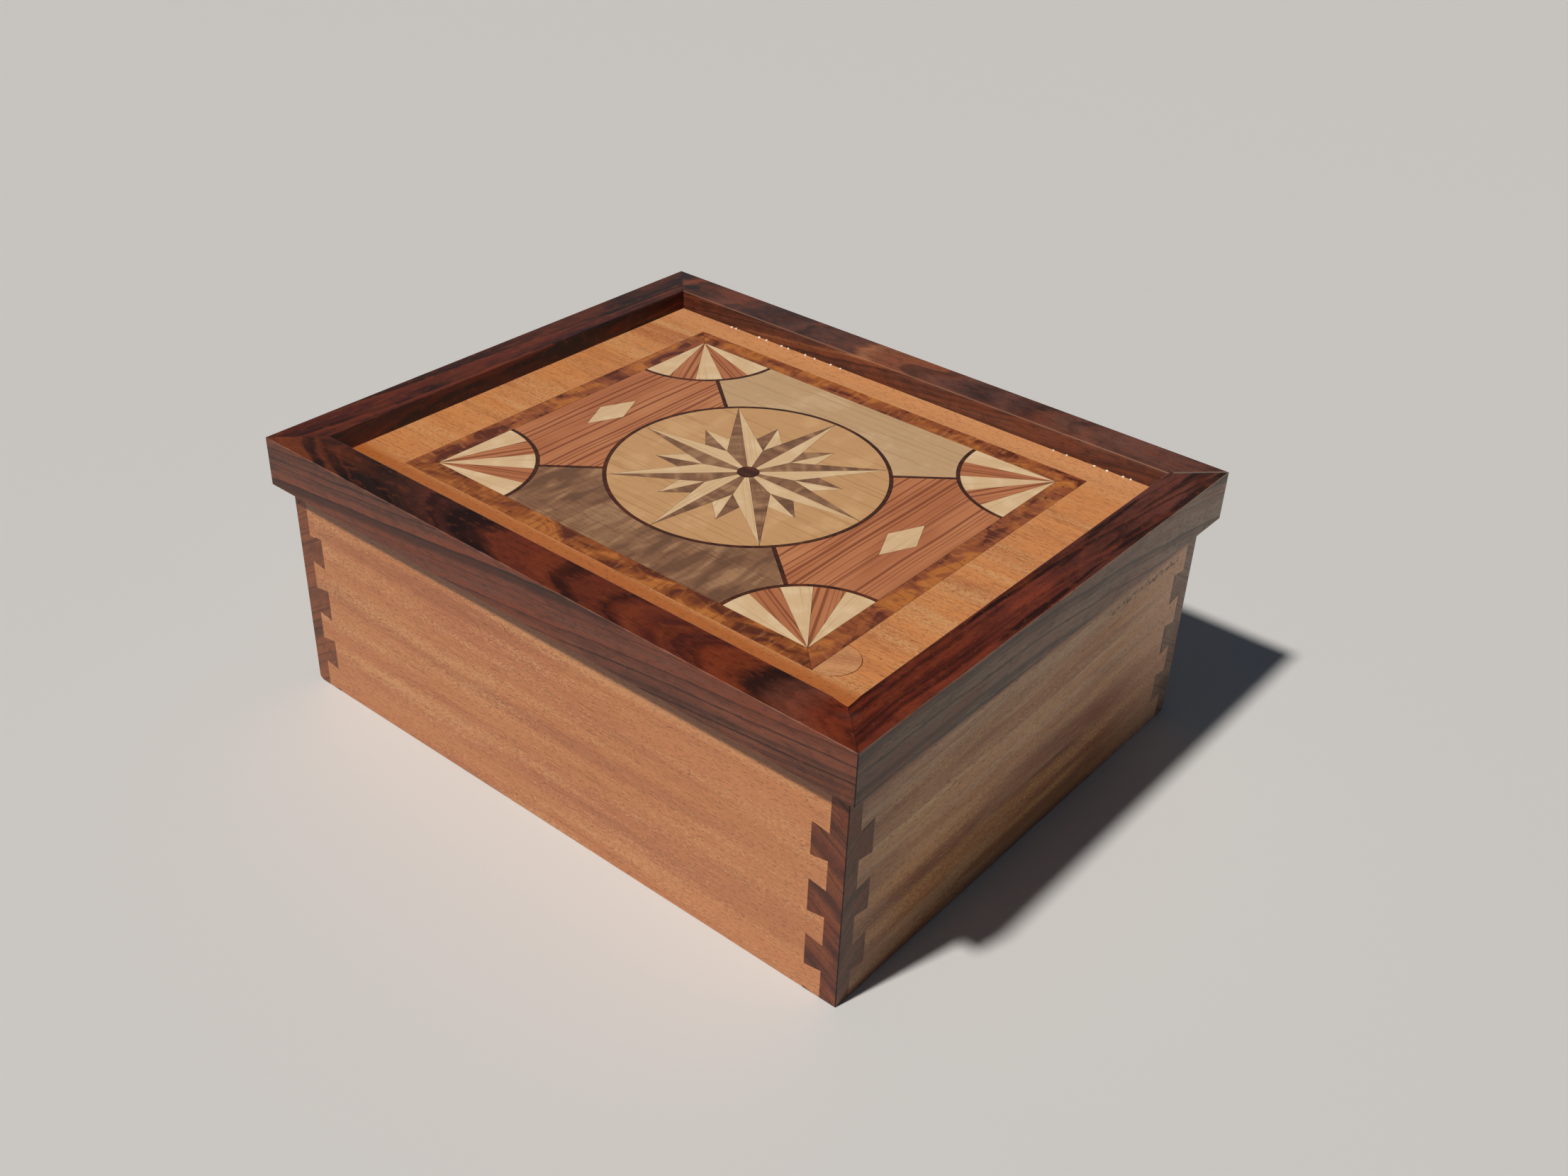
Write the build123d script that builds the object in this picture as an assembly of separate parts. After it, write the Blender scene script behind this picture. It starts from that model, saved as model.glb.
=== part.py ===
from build123d import *
import os
from math import atan2, cos, degrees, hypot, pi, sin, sqrt

# Pen box: a dovetailed case, a lift-out pen tray and a lift-off framed marquetry lid, in millimetres.
# The origin is the centre of the footprint, on the surface that the box stands on. +X runs along the
# long front towards the right end, +Y towards the back and +Z up.

# Overall sizes
lid_length = 263.0
lid_width = 214.5
case_height = 85.5
frame_height = 19.0
overhang = 5.0

# Case boards and their dovetailed corner posts
board_thickness = 6.4
key_length = 6.6
key_wide_height = 12.8
key_narrow_height = 10.6
key_pitch = 22.2
lowest_key_level = 16.75
board_above_keys = 10.0
post_easing = 0.4
bottom_easing = 0.3
corner_tip_easing = 2.5
open_joint_width = 0.3
open_joint_depth = 2.0

# Bottom of the case
base_thickness = 5.0
base_underside = 3.0
base_groove_depth = 3.0
groove_end_gap = 0.3
felt_thickness = 1.0
felt_edge_gap = 0.4

# Lid frame, seen in section
rail_top_width = 15.7
inner_face_lean = 1.6
recess_depth = 7.0
panel_groove_depth = 6.0
frame_easing = 0.35
arris_easing = 0.4
frame_corner_easing = 0.3
worn_corner_depth = 1.2
worn_corner_reach = 9.0
worn_corner_runout = 0.02

# Lid panel and the strips that locate the lid on the case
core_thickness = 6.0
veneer_thickness = 0.7
knife_gap = 0.12
locator_thickness = 5.0
locator_height = 6.0
locator_clearance = 0.6

# Burl crossband, and the round patch let into the field veneer beside its front right corner
band_length = 184.0
band_depth = 156.0
band_width = 8.0
patch_radius = 8.8
patch_inset = 1.2
patch_gap = 0.3

# Geometric design inside the crossband
stringing_width = 1.4
medallion_radius = 50.0
star_points = 8
star_waist_radius = 17.0
short_point_radius = 35.0
short_point_root = 0.26
boss_radius = 4.0
fan_radius = 34.0
fan_blades = 5
lozenge_length = 12.0
lozenge_height = 26.0

# Lift-out tray
tray_height = 30.0
tray_clearance = 0.6
tray_headroom = 1.0
tray_wall = 5.0
tray_base_thickness = 3.0
finger_notch_radius = 12.0
ledge_thickness = 5.0

# Scalloped pen rests in the tray
rest_thickness = 12.0
rest_height = 14.0
rest_spacing = 100.0
rest_end_gap = 0.3
slot_pitch = 25.0
slot_radius = 8.0

# Places worked out from the sizes above
case_length = lid_length - 2 * overhang
case_width = lid_width - 2 * overhang
room_length = case_length - 2 * board_thickness
room_width = case_width - 2 * board_thickness
base_top = base_underside + base_thickness
rail_width = rail_top_width + inner_face_lean
panel_top = case_height + frame_height - recess_depth
core_top = panel_top - veneer_thickness
core_bottom = core_top - core_thickness
panel_bottom = core_bottom - veneer_thickness
tray_top = case_height - locator_height - tray_headroom
tray_bottom = tray_top - tray_height
tray_length = room_length - 2 * tray_clearance
tray_width = room_width - 2 * tray_clearance
tray_floor = tray_bottom + tray_base_thickness
picture_length = band_length - 2 * band_width
picture_depth = band_depth - 2 * band_width


# Builds a block from its six sides.
def block(x_low, x_high, y_low, y_high, z_low, z_high):
    size = (x_high - x_low, y_high - y_low, z_high - z_low)
    middle = ((x_low + x_high) / 2, (y_low + y_high) / 2, (z_low + z_high) / 2)
    return Pos(*middle) * Box(*size)


# Builds a block that is centred on the box's vertical axis.
def centred_block(length, width, z_low, z_high):
    return block(-length / 2, length / 2, -width / 2, width / 2, z_low, z_high)


# Gives a solid, its mirror image to the right and both of those again at the back.
def four_corners(front_left):
    front_right = mirror(front_left, about=Plane.YZ)
    return {
        "front_left": front_left,
        "front_right": front_right,
        "back_left": mirror(front_left, about=Plane.XZ),
        "back_right": mirror(front_right, about=Plane.XZ),
    }


# Case

# Eases the edges of a solid's lowest face.
def ease_bottom(solid, radius):
    return fillet(solid.faces().sort_by(Axis.Z)[0].edges(), radius)


# The finished outside of the case. Its upright corners and bottom edges are barely eased. All its bottom
# tips but the front right one are rubbed rounder, by a block that stands diagonally and touches all four
# corners.
def case_outside():
    outside = centred_block(case_length, case_width, 0, case_height)
    outside = fillet(outside.edges().filter_by(Axis.Z), post_easing)
    diagonal_side = (case_length + case_width) / sqrt(2)
    diagonal = Rot(Z=45) * centred_block(diagonal_side, diagonal_side, 0, case_height)
    to_front_right = Axis((0, 0, 0), (1, -1, 0))
    tip_edges = diagonal.faces().sort_by(Axis.Z)[0].edges().sort_by(to_front_right)
    return ease_bottom(outside, bottom_easing) & fillet(tip_edges[:-1], corner_tip_easing)


# Heights of the key centres. The row starts below the case, so the tip of one more key shows at the bottom.
def key_levels():
    room_for_keys = case_height - board_above_keys - key_wide_height / 2 - lowest_key_level
    whole_keys = int(room_for_keys / key_pitch) + 1
    return [lowest_key_level + step * key_pitch for step in range(-1, whole_keys)]


# One dovetail key of the front left post, reaching along the front board: it widens away from the post.
def front_key(level):
    near = -case_length / 2 + board_thickness
    far = near + key_length
    outline = Polyline(
        (near, level - key_narrow_height / 2),
        (near, level + key_narrow_height / 2),
        (far, level + key_wide_height / 2),
        (far, level - key_wide_height / 2),
        close=True,
    )
    front = Plane.XZ.offset(case_width / 2)
    return extrude(front * make_face(outline), -board_thickness)


# The same key, reaching along the left board instead.
def left_key(level):
    key = Pos(case_length / 2, case_width / 2) * front_key(level)
    key = mirror(Rot(Z=90) * key, about=Plane.YZ)
    return Pos(-case_length / 2, -case_width / 2) * key


# The space that the bottom panel's groove takes from the boards and posts.
def base_groove():
    length = room_length + 2 * base_groove_depth
    width = room_width + 2 * base_groove_depth
    return centred_block(length, width, base_underside, base_top)


# A square post with a row of keys on each of its two inner sides.
def corner_post():
    left = -case_length / 2
    front = -case_width / 2
    post = block(left, left + board_thickness, front, front + board_thickness, 0, case_height)
    for level in key_levels():
        post += front_key(level)
        post += left_key(level)
    return post - base_groove()


# A board between two posts, cut away where their keys go in.
def board(blank, posts):
    blank = (blank & case_outside()) - base_groove()
    for post in posts:
        blank -= post
    return blank


# The hair's breadth that the joint has opened by on the right side, above the front right post's top key
def open_joint():
    near = -case_width / 2 + board_thickness
    far = near + key_length
    key_top = key_levels()[-1] + key_wide_height / 2
    near_top = key_levels()[-1] + key_narrow_height / 2
    outline = Polyline(
        (near, near_top),
        (near, near_top + open_joint_width),
        (far, key_top + open_joint_width),
        (far, key_top),
        close=True,
    )
    right = Plane.YZ.offset(case_length / 2)
    return extrude(right * make_face(outline), -open_joint_depth)


def build_case():
    outside = case_outside()
    posts = {place: post & outside for place, post in four_corners(corner_post()).items()}
    inner_x = room_length / 2
    inner_y = room_width / 2
    front_blank = block(-inner_x, inner_x, -case_width / 2, -inner_y, 0, case_height)
    left_blank = block(-case_length / 2, -inner_x, -inner_y, inner_y, 0, case_height)
    parts = {"post_" + place: post for place, post in posts.items()}
    parts["front_board"] = board(front_blank, [posts["front_left"], posts["front_right"]])
    parts["back_board"] = mirror(parts["front_board"], about=Plane.XZ)
    parts["left_board"] = board(left_blank, [posts["front_left"], posts["back_left"]])
    parts["right_board"] = mirror(parts["left_board"], about=Plane.YZ) - open_joint()

    tongue = base_groove_depth - groove_end_gap
    base_length = room_length + 2 * tongue
    base_width = room_width + 2 * tongue
    parts["base_panel"] = centred_block(base_length, base_width, base_underside, base_top)

    ledge_inner_x = inner_x - ledge_thickness
    parts["left_ledge"] = block(-inner_x, -ledge_inner_x, -inner_y, inner_y, base_top, tray_bottom)
    parts["right_ledge"] = mirror(parts["left_ledge"], about=Plane.YZ)
    felt_length = 2 * (ledge_inner_x - felt_edge_gap)
    felt_width = 2 * (inner_y - felt_edge_gap)
    parts["base_felt"] = centred_block(felt_length, felt_width, base_top, base_top + felt_thickness)
    return parts


# Tray

# The tray's base, let into a rebate half a wall wide.
def tray_base_panel():
    return centred_block(tray_length - tray_wall, tray_width - tray_wall, tray_bottom, tray_floor)


# The front wall runs the whole length. A rebate at each end takes the end wall.
def tray_front_wall():
    outer_x = tray_length / 2
    outer_y = -tray_width / 2
    inner_y = outer_y + tray_wall
    wall = block(-outer_x, outer_x, outer_y, inner_y, tray_bottom, tray_top)
    rebate = block(-outer_x, -outer_x + tray_wall, outer_y + tray_wall / 2, inner_y, tray_bottom, tray_top)
    wall -= rebate
    wall -= mirror(rebate, about=Plane.YZ)
    return wall - tray_base_panel()


# The end wall has a half-round notch to lift the tray by.
def tray_end_wall():
    outer_x = -tray_length / 2
    half_width = tray_width / 2 - tray_wall / 2
    wall = block(outer_x, outer_x + tray_wall, -half_width, half_width, tray_bottom, tray_top)
    notch = Rot(Y=90) * Cylinder(finger_notch_radius, 2 * tray_wall)
    notch = Pos(outer_x + tray_wall / 2, 0, tray_top) * notch
    return wall - tray_base_panel() - notch


# A strip with a row of half-round slots, in which the pens lie from front to back.
def pen_rest():
    length = tray_length - 2 * tray_wall - 2 * rest_end_gap
    floor = tray_floor + felt_thickness
    rest = centred_block(length, rest_thickness, floor, floor + rest_height)
    slots = int(length / slot_pitch)
    for number in range(slots):
        x = (number - (slots - 1) / 2) * slot_pitch
        rest -= Pos(x, 0, floor + rest_height) * Rot(X=90) * Cylinder(slot_radius, 2 * rest_thickness)
    return rest


def build_tray():
    parts = {}
    parts["tray_front"] = tray_front_wall()
    parts["tray_back"] = mirror(parts["tray_front"], about=Plane.XZ)
    parts["tray_left"] = tray_end_wall()
    parts["tray_right"] = mirror(parts["tray_left"], about=Plane.YZ)
    parts["tray_base"] = tray_base_panel()
    felt_length = tray_length - 2 * tray_wall - 2 * felt_edge_gap
    felt_width = tray_width - 2 * tray_wall - 2 * felt_edge_gap
    parts["tray_felt"] = centred_block(felt_length, felt_width, tray_floor, tray_floor + felt_thickness)
    rest = pen_rest()
    parts["pen_rest_front"] = Pos(0, -rest_spacing / 2) * rest
    parts["pen_rest_back"] = Pos(0, rest_spacing / 2) * rest
    return parts


# Lid frame

# Section of a rail: x is the distance in from the frame's outer face, y the height above its underside.
def rail_section():
    panel_level = frame_height - recess_depth
    groove_floor = rail_width - panel_groove_depth
    groove_low = panel_level - core_thickness - 2 * veneer_thickness
    outer_low = (0, 0)
    outer_high = (0, frame_height)
    arris = (rail_top_width, frame_height)
    outline = Polyline(
        outer_low,
        outer_high,
        arris,
        (rail_width, panel_level),
        (groove_floor, panel_level),
        (groove_floor, groove_low),
        (rail_width, groove_low),
        (rail_width, 0),
        close=True,
    )
    section = make_face(outline)
    section = fillet([point_near(section, outer_low), point_near(section, outer_high)], frame_easing)
    return fillet(point_near(section, arris), arris_easing)


def point_near(section, place):
    return min(section.vertices(), key=lambda vertex: hypot(vertex.X - place[0], vertex.Y - place[1]))


# A rail of the given length along X, with its outer face towards -Y, mitred at both ends.
def mitred_rail(length):
    section_plane = Plane(origin=(-length / 2, 0, 0), x_dir=(0, 1, 0), z_dir=(1, 0, 0))
    rail = extrude(section_plane * rail_section(), length)
    reach = 2 * rail_width
    outline = Polyline(
        (-length / 2, 0),
        (length / 2, 0),
        (length / 2 - reach, reach),
        (-length / 2 + reach, reach),
        close=True,
    )
    return rail & extrude(make_face(outline), frame_height)


# The finished outside of the frame, with its upright corners eased.
def frame_outside():
    outside = centred_block(lid_length, lid_width, case_height, case_height + frame_height)
    return fillet(outside.edges().filter_by(Axis.Z), frame_corner_easing)


# The shallow hollow that wear has left round the inner corner of the front right mitre. Its bottom and its
# rim are arcs that meet halfway, and its rim runs out just over the frame's top.
def worn_corner():
    x = lid_length / 2 - rail_top_width
    y = -lid_width / 2 + rail_top_width
    bottom = case_height + frame_height - worn_corner_depth
    rise = worn_corner_depth + worn_corner_runout
    middle = (worn_corner_reach / 2, rise / 2)
    rim = (worn_corner_reach, rise)
    bowl = TangentArc((0, 0), middle, tangent=(1, 0))
    flare = TangentArc(middle, rim, tangent=bowl % 1)
    closing = Polyline(rim, (worn_corner_reach, 2 * rise), (0, 2 * rise), (0, 0))
    section = make_face(bowl + flare + closing)
    return Pos(x, y, bottom) * revolve(Plane.XZ * section, Axis.Z)


def build_frame():
    outside = frame_outside()
    front = (Pos(0, -lid_width / 2, case_height) * mitred_rail(lid_length)) & outside
    left = (Pos(-lid_length / 2, 0, case_height) * Rot(Z=-90) * mitred_rail(lid_width)) & outside
    return {
        "frame_front": front - worn_corner(),
        "frame_back": mirror(front, about=Plane.XZ),
        "frame_left": left,
        "frame_right": mirror(left, about=Plane.YZ) - worn_corner(),
    }


# Four strips under the frame that drop inside the case boards. The end strips fit between the long ones.
def build_locators():
    outer_x = room_length / 2 - locator_clearance
    outer_y = room_width / 2 - locator_clearance
    inner_y = outer_y - locator_thickness
    low = case_height - locator_height
    front = block(-outer_x, outer_x, -outer_y, -inner_y, low, case_height)
    left = block(-outer_x, -outer_x + locator_thickness, -inner_y, inner_y, low, case_height)
    return {
        "locator_front": front,
        "locator_back": mirror(front, about=Plane.XZ),
        "locator_left": left,
        "locator_right": mirror(left, about=Plane.YZ),
    }


# Lid panel

# Turns a flat outline into a piece of veneer on the core, cut half a knife gap small all round.
def veneer(outline):
    pieces = [offset(face, amount=-knife_gap / 2, kind=Kind.INTERSECTION) for face in outline.faces()]
    solids = [Pos(0, 0, core_top) * extrude(face, veneer_thickness) for face in pieces]
    return solids[0] if len(solids) == 1 else Compound(children=solids)


def straight_face(*points):
    return make_face(Polyline(*points, close=True))


def polar(radius, angle, centre=(0, 0)):
    return (centre[0] + radius * cos(angle), centre[1] + radius * sin(angle))


# The four mitred strips of the crossband.
def build_crossband():
    outer_x = band_length / 2
    outer_y = band_depth / 2
    inner_x = outer_x - band_width
    inner_y = outer_y - band_width
    outer_left = (-outer_x, -outer_y)
    inner_left = (-inner_x, -inner_y)
    front = straight_face(outer_left, (outer_x, -outer_y), (inner_x, -inner_y), inner_left)
    left = straight_face(outer_left, inner_left, (-inner_x, inner_y), (-outer_x, outer_y))
    return {
        "burl_front": veneer(front),
        "burl_back": veneer(mirror(front, about=Plane.XZ)),
        "burl_left": veneer(left),
        "burl_right": veneer(mirror(left, about=Plane.YZ)),
    }


def build_panel():
    groove_edge = rail_width - panel_groove_depth + groove_end_gap
    length = lid_length - 2 * groove_edge
    width = lid_width - 2 * groove_edge
    window = Rectangle(band_length, band_depth)
    patch_centre = Pos(band_length / 2 + patch_inset, -band_depth / 2 + patch_radius)
    recess = patch_centre * Circle(patch_radius) - window
    patch = patch_centre * Circle(patch_radius - patch_gap + knife_gap) - window
    field = Rectangle(length, width) - window - recess
    return {
        "panel_core": centred_block(length, width, core_bottom, core_top),
        "panel_backing": centred_block(length, width, panel_bottom, core_bottom),
        "field_veneer": veneer(field),
        "veneer_patch": veneer(patch),
    }


# Gives the place that lies the given share of the way from start to end.
def between(start, end, share):
    return tuple(a + (b - a) * share for a, b in zip(start, end))


# Medallion: a star of long points, with short points between them, in a ring of stringing. Each point is
# split along its middle into a light and a shaded half.
def build_medallion():
    step = 2 * pi / star_points
    boss = Circle(boss_radius)
    names = ("long_light", "long_shaded", "short_light", "short_shaded", "ground")
    woods = {name: Sketch() for name in names}
    for number in range(star_points):
        angle = pi / 2 + number * step
        tip = polar(medallion_radius, angle)
        next_tip = polar(medallion_radius, angle + step)
        waist_before = polar(star_waist_radius, angle - step / 2)
        waist = polar(star_waist_radius, angle + step / 2)
        short_tip = polar(short_point_radius, angle + step / 2)
        root = between(waist, tip, short_point_root)
        next_root = between(waist, next_tip, short_point_root)
        rim = ThreePointArc(tip, polar(medallion_radius, angle + step / 2), next_tip)
        woods["long_light"] += straight_face((0, 0), waist_before, tip) - boss
        woods["long_shaded"] += straight_face((0, 0), tip, waist) - boss
        woods["short_light"] += straight_face(waist, root, short_tip)
        woods["short_shaded"] += straight_face(waist, short_tip, next_root)
        woods["ground"] += make_face([rim, Polyline(next_tip, next_root, short_tip, root, tip)])
    ring = Circle(medallion_radius + stringing_width) - Circle(medallion_radius)
    parts = {"star_" + name: veneer(outline) for name, outline in woods.items()}
    parts["star_boss"] = veneer(boss)
    parts["ring_stringing"] = veneer(ring)
    return parts


# Gives an outline drawn in the front left quarter, together with its three mirror images.
def four_quarters(outline):
    pair = outline + mirror(outline, about=Plane.YZ)
    return pair + mirror(pair, about=Plane.XZ)


# A quarter fan in each corner of the picture: blades in two woods inside an arc of stringing.
def build_fans():
    corner = (-picture_length / 2, -picture_depth / 2)
    blade_angle = pi / 2 / fan_blades
    blades = [Sketch(), Sketch()]
    for number in range(fan_blades):
        start = number * blade_angle
        first = polar(fan_radius, start, corner)
        middle = polar(fan_radius, start + blade_angle / 2, corner)
        last = polar(fan_radius, start + blade_angle, corner)
        blade = make_face([Line(corner, first), ThreePointArc(first, middle, last), Line(last, corner)])
        blades[number % 2] += blade
    rim = Circle(fan_radius + stringing_width) - Circle(fan_radius)
    rim = (Pos(*corner) * rim) & Rectangle(picture_length, picture_depth)
    return {
        "fan_light_blades": veneer(four_quarters(blades[0])),
        "fan_red_blades": veneer(four_quarters(blades[1])),
        "fan_stringing": veneer(four_quarters(rim)),
    }


# The ground round the medallion, in four pieces parted by stringing along the picture's diagonals.
def build_ground():
    half_length = picture_length / 2
    half_depth = picture_depth / 2
    corner = (-half_length, -half_depth)
    fans = four_quarters(Pos(*corner) * Circle(fan_radius + stringing_width))
    taken = Circle(medallion_radius + stringing_width) + fans
    slope = degrees(atan2(picture_depth, picture_length))
    strips = Rot(Z=slope) * Rectangle(2 * picture_length, stringing_width)
    strips += mirror(strips, about=Plane.XZ)
    lozenge_middle = (medallion_radius + stringing_width + half_length) / 2
    lozenge = Pos(-lozenge_middle, 0) * straight_face(
        (-lozenge_length / 2, 0), (0, -lozenge_height / 2), (lozenge_length / 2, 0), (0, lozenge_height / 2)
    )
    front = straight_face((0, 0), corner, (half_length, -half_depth)) - taken - strips
    left = straight_face((0, 0), (-half_length, half_depth), corner) - taken - strips - lozenge
    diagonals = (strips & Rectangle(picture_length, picture_depth)) - taken
    return {
        "ground_front": veneer(front),
        "ground_back": veneer(mirror(front, about=Plane.XZ)),
        "ground_left": veneer(left),
        "ground_right": veneer(mirror(left, about=Plane.YZ)),
        "diagonal_stringing": veneer(diagonals),
        "side_lozenges": veneer(lozenge + mirror(lozenge, about=Plane.YZ)),
    }


# Writes one file for each piece
builders = [
    build_case,
    build_tray,
    build_frame,
    build_locators,
    build_panel,
    build_crossband,
    build_medallion,
    build_fans,
    build_ground,
]
os.makedirs("parts", exist_ok=True)
for build_pieces in builders:
    for name, piece in build_pieces().items():
        export_step(piece, "parts/" + name + ".step")
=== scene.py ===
from math import cos, pi, radians, sin

import bmesh
import bpy
from mathutils import Matrix, Vector, noise


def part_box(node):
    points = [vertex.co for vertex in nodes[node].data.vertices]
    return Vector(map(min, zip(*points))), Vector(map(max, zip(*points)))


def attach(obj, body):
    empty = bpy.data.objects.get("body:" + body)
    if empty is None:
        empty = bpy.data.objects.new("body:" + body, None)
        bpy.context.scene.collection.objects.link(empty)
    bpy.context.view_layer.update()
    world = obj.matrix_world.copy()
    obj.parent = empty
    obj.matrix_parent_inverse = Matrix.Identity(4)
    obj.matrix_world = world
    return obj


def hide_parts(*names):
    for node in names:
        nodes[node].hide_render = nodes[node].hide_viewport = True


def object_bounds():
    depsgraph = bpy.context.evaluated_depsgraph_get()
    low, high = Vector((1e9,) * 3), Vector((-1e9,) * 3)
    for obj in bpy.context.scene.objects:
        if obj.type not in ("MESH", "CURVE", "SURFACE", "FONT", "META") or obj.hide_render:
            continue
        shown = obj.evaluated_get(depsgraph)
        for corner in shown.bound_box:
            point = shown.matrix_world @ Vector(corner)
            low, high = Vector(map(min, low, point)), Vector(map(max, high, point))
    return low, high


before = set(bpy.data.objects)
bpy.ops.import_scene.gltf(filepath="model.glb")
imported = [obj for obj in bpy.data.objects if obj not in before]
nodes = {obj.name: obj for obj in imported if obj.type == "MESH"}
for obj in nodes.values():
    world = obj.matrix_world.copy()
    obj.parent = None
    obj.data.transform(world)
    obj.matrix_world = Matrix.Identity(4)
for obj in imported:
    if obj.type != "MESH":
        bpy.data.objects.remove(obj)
cad_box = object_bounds()

# Pen box: the looks of its woods and felt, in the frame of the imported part. The origin is the centre of
# the footprint. +X runs along the long front, +Y towards the back and +Z up. Meshes and the camera are
# in metres, and patterns in the woods are in millimetres.

# Photograph: a pinhole camera worked out from the box's own corners, for a frame of 2212 x 1659 pixels
photo_width = 2212
focal_pixels = 2329.8
camera_azimuth = radians(38.485)
camera_elevation = radians(32.874)
camera_roll = radians(-2.4193)
camera_distance = 0.6444
camera_target = Vector((-0.00615, 0.03085, 0.03119))
sensor_width = 36.0
nearest_seen = 0.01

# Studio: the way to the key light is read from the shadow's corners in the photograph
to_key_light = Vector((-0.139, -0.526, 0.839))
key_light_power = 3.15
key_light_spread = radians(4)
floor_size = 60.0

# Places on the box in millimetres, from the frame
to_mm = 1000.0
lid_half_length, lid_half_width, lid_top = cad_box[1] * to_mm
case_half_length, case_half_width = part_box("post_back_right")[1].xy * to_mm
key_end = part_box("post_back_right")[0].y * to_mm

# Other places in millimetres: half of the design's length and width, the width of a rail's top, and how
# far X and Y together fall along the part of a mitre that has opened
picture_half_length = 84.0
picture_half_width = 70.0
rail_width = 15.7
open_mitre = 28.0

# Directions of the grain
along_x = (1, 0, 0)
along_y = (0, 1, 0)


def linear(tone):
    """Turns an sRGB hex colour into the linear colour that a shader takes."""
    values = [int(tone[place:place + 2], 16) / 255 for place in (0, 2, 4)]
    return [v / 12.92 if v <= 0.04045 else ((v + 0.055) / 1.055) ** 2.4 for v in values] + [1.0]


def add(tree, kind, inputs=None, **settings):
    """Adds a node, by its full type or, for a shader's node, by what follows ShaderNode. Its inputs are
    plain values, or what is linked to them: another node's output, or a node for its first output."""
    node = tree.nodes.new(kind if "Node" in kind else "ShaderNode" + kind)
    for name, value in settings.items():
        setattr(node, name, value)
    for socket, value in (inputs or {}).items():
        if isinstance(value, bpy.types.Node):
            value = value.outputs[0]
        if isinstance(value, bpy.types.NodeSocket):
            tree.links.new(value, node.inputs[socket])
        else:
            node.inputs[socket].default_value = value
    return node


# Camera and light

def place_camera():
    """Puts the camera where the photograph was taken."""
    out = Vector((
        sin(camera_azimuth) * cos(camera_elevation),
        -cos(camera_azimuth) * cos(camera_elevation),
        sin(camera_elevation),
    ))
    level_right = (-out).cross(Vector((0, 0, 1))).normalized()
    level_up = level_right.cross(-out)
    right = level_right * cos(camera_roll) - level_up * sin(camera_roll)
    up = level_right * sin(camera_roll) + level_up * cos(camera_roll)
    turn = Matrix((right, up, out)).transposed().to_4x4()
    lens = bpy.data.cameras.new("camera")
    lens.sensor_width = sensor_width
    lens.lens = sensor_width * focal_pixels / photo_width
    lens.clip_start = nearest_seen
    camera = bpy.data.objects.new("camera", lens)
    camera.matrix_world = Matrix.Translation(camera_target + out * camera_distance) @ turn
    bpy.context.collection.objects.link(camera)
    bpy.context.scene.camera = camera


def light_studio():
    """Lights the box with one warm key light in a dim, cool room."""
    lamp = bpy.data.lights.new("key light", "SUN")
    lamp.energy = key_light_power
    lamp.angle = key_light_spread
    lamp.color = linear("fff7ee")[:3]
    key = bpy.data.objects.new("key light", lamp)
    key.rotation_euler = to_key_light.to_track_quat("Z", "Y").to_euler()
    bpy.context.collection.objects.link(key)

    # The room is grey near the horizon, dim above it and lit by a cool soft ceiling.
    world = bpy.data.worlds.new("studio room")
    bpy.context.scene.world = world
    world.use_nodes = True
    tree = world.node_tree
    tree.nodes.clear()
    towards = add(tree, "TexCoord").outputs["Generated"]
    height = add(tree, "SeparateXYZ", {0: towards}).outputs["Z"]
    room = add(tree, "ValToRGB", {0: height})
    stops = (
        (0.0, "5f6870"),
        (0.18, "5f6870"),
        (0.4, "20262d"),
        (0.75, "20262d"),
        (0.95, "43505d"),
    )
    fill_ramp(room.color_ramp, stops)
    # Seen from low down, the end of the floor meets a pale wall.
    ways = add(tree, "LightPath").outputs
    seen = add(tree, "Math", {0: ways["Is Camera Ray"], 1: ways["Is Glossy Ray"]}, operation="MAXIMUM")
    seen = add(tree, "Math", {0: seen, 1: ways["Is Transmission Ray"]}, operation="MAXIMUM")
    low = add(tree, "MapRange", {0: height, 1: 0.4, 2: 0.2})
    wall = add(tree, "Math", {0: seen, 1: low}, operation="MULTIPLY")
    colour = add(tree, "Mix", {0: wall, 6: room, 7: linear("cfd0cd")}, data_type="RGBA").outputs[2]
    shine = add(tree, "Background", {"Color": colour, "Strength": 1.0})
    add(tree, "OutputWorld", {0: shine})


def fill_ramp(ramp, stops):
    """Gives a colour ramp its stops, each a place from 0 to 1 and a hex colour."""
    while len(ramp.elements) < len(stops):
        ramp.elements.new(1.0)
    for element, (place, tone) in zip(ramp.elements, stops):
        element.position = place
        element.color = linear(tone)


def lay_floor():
    """Lays a pale floor under the box."""
    half = floor_size / 2
    corners = [(-half, -half, 0), (half, -half, 0), (half, half, 0), (-half, half, 0)]
    mesh = bpy.data.meshes.new("floor")
    mesh.from_pydata(corners, [], [(0, 1, 2, 3)])
    floor = bpy.data.objects.new("floor", mesh)
    bpy.context.collection.objects.link(floor)
    # Pale matt paint on a smooth board: an even off-white that keeps the box's shadow.
    material = bpy.data.materials.new("pale matt paint")
    material.use_nodes = True
    shader = material.node_tree.nodes["Principled BSDF"]
    shader.inputs["Base Color"].default_value = linear("d5d7d8")
    shader.inputs["Roughness"].default_value = 0.7
    mesh.materials.append(material)


# Patterns that the woods share

def turn_to_grain(grain):
    """The turn that brings the direction of the grain onto X."""
    return Vector(grain).rotation_difference(Vector(along_x))


def turned(grain, way):
    """A direction or place on the box, in coordinates with X along the grain."""
    return turn_to_grain(grain) @ Vector(way)


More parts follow.
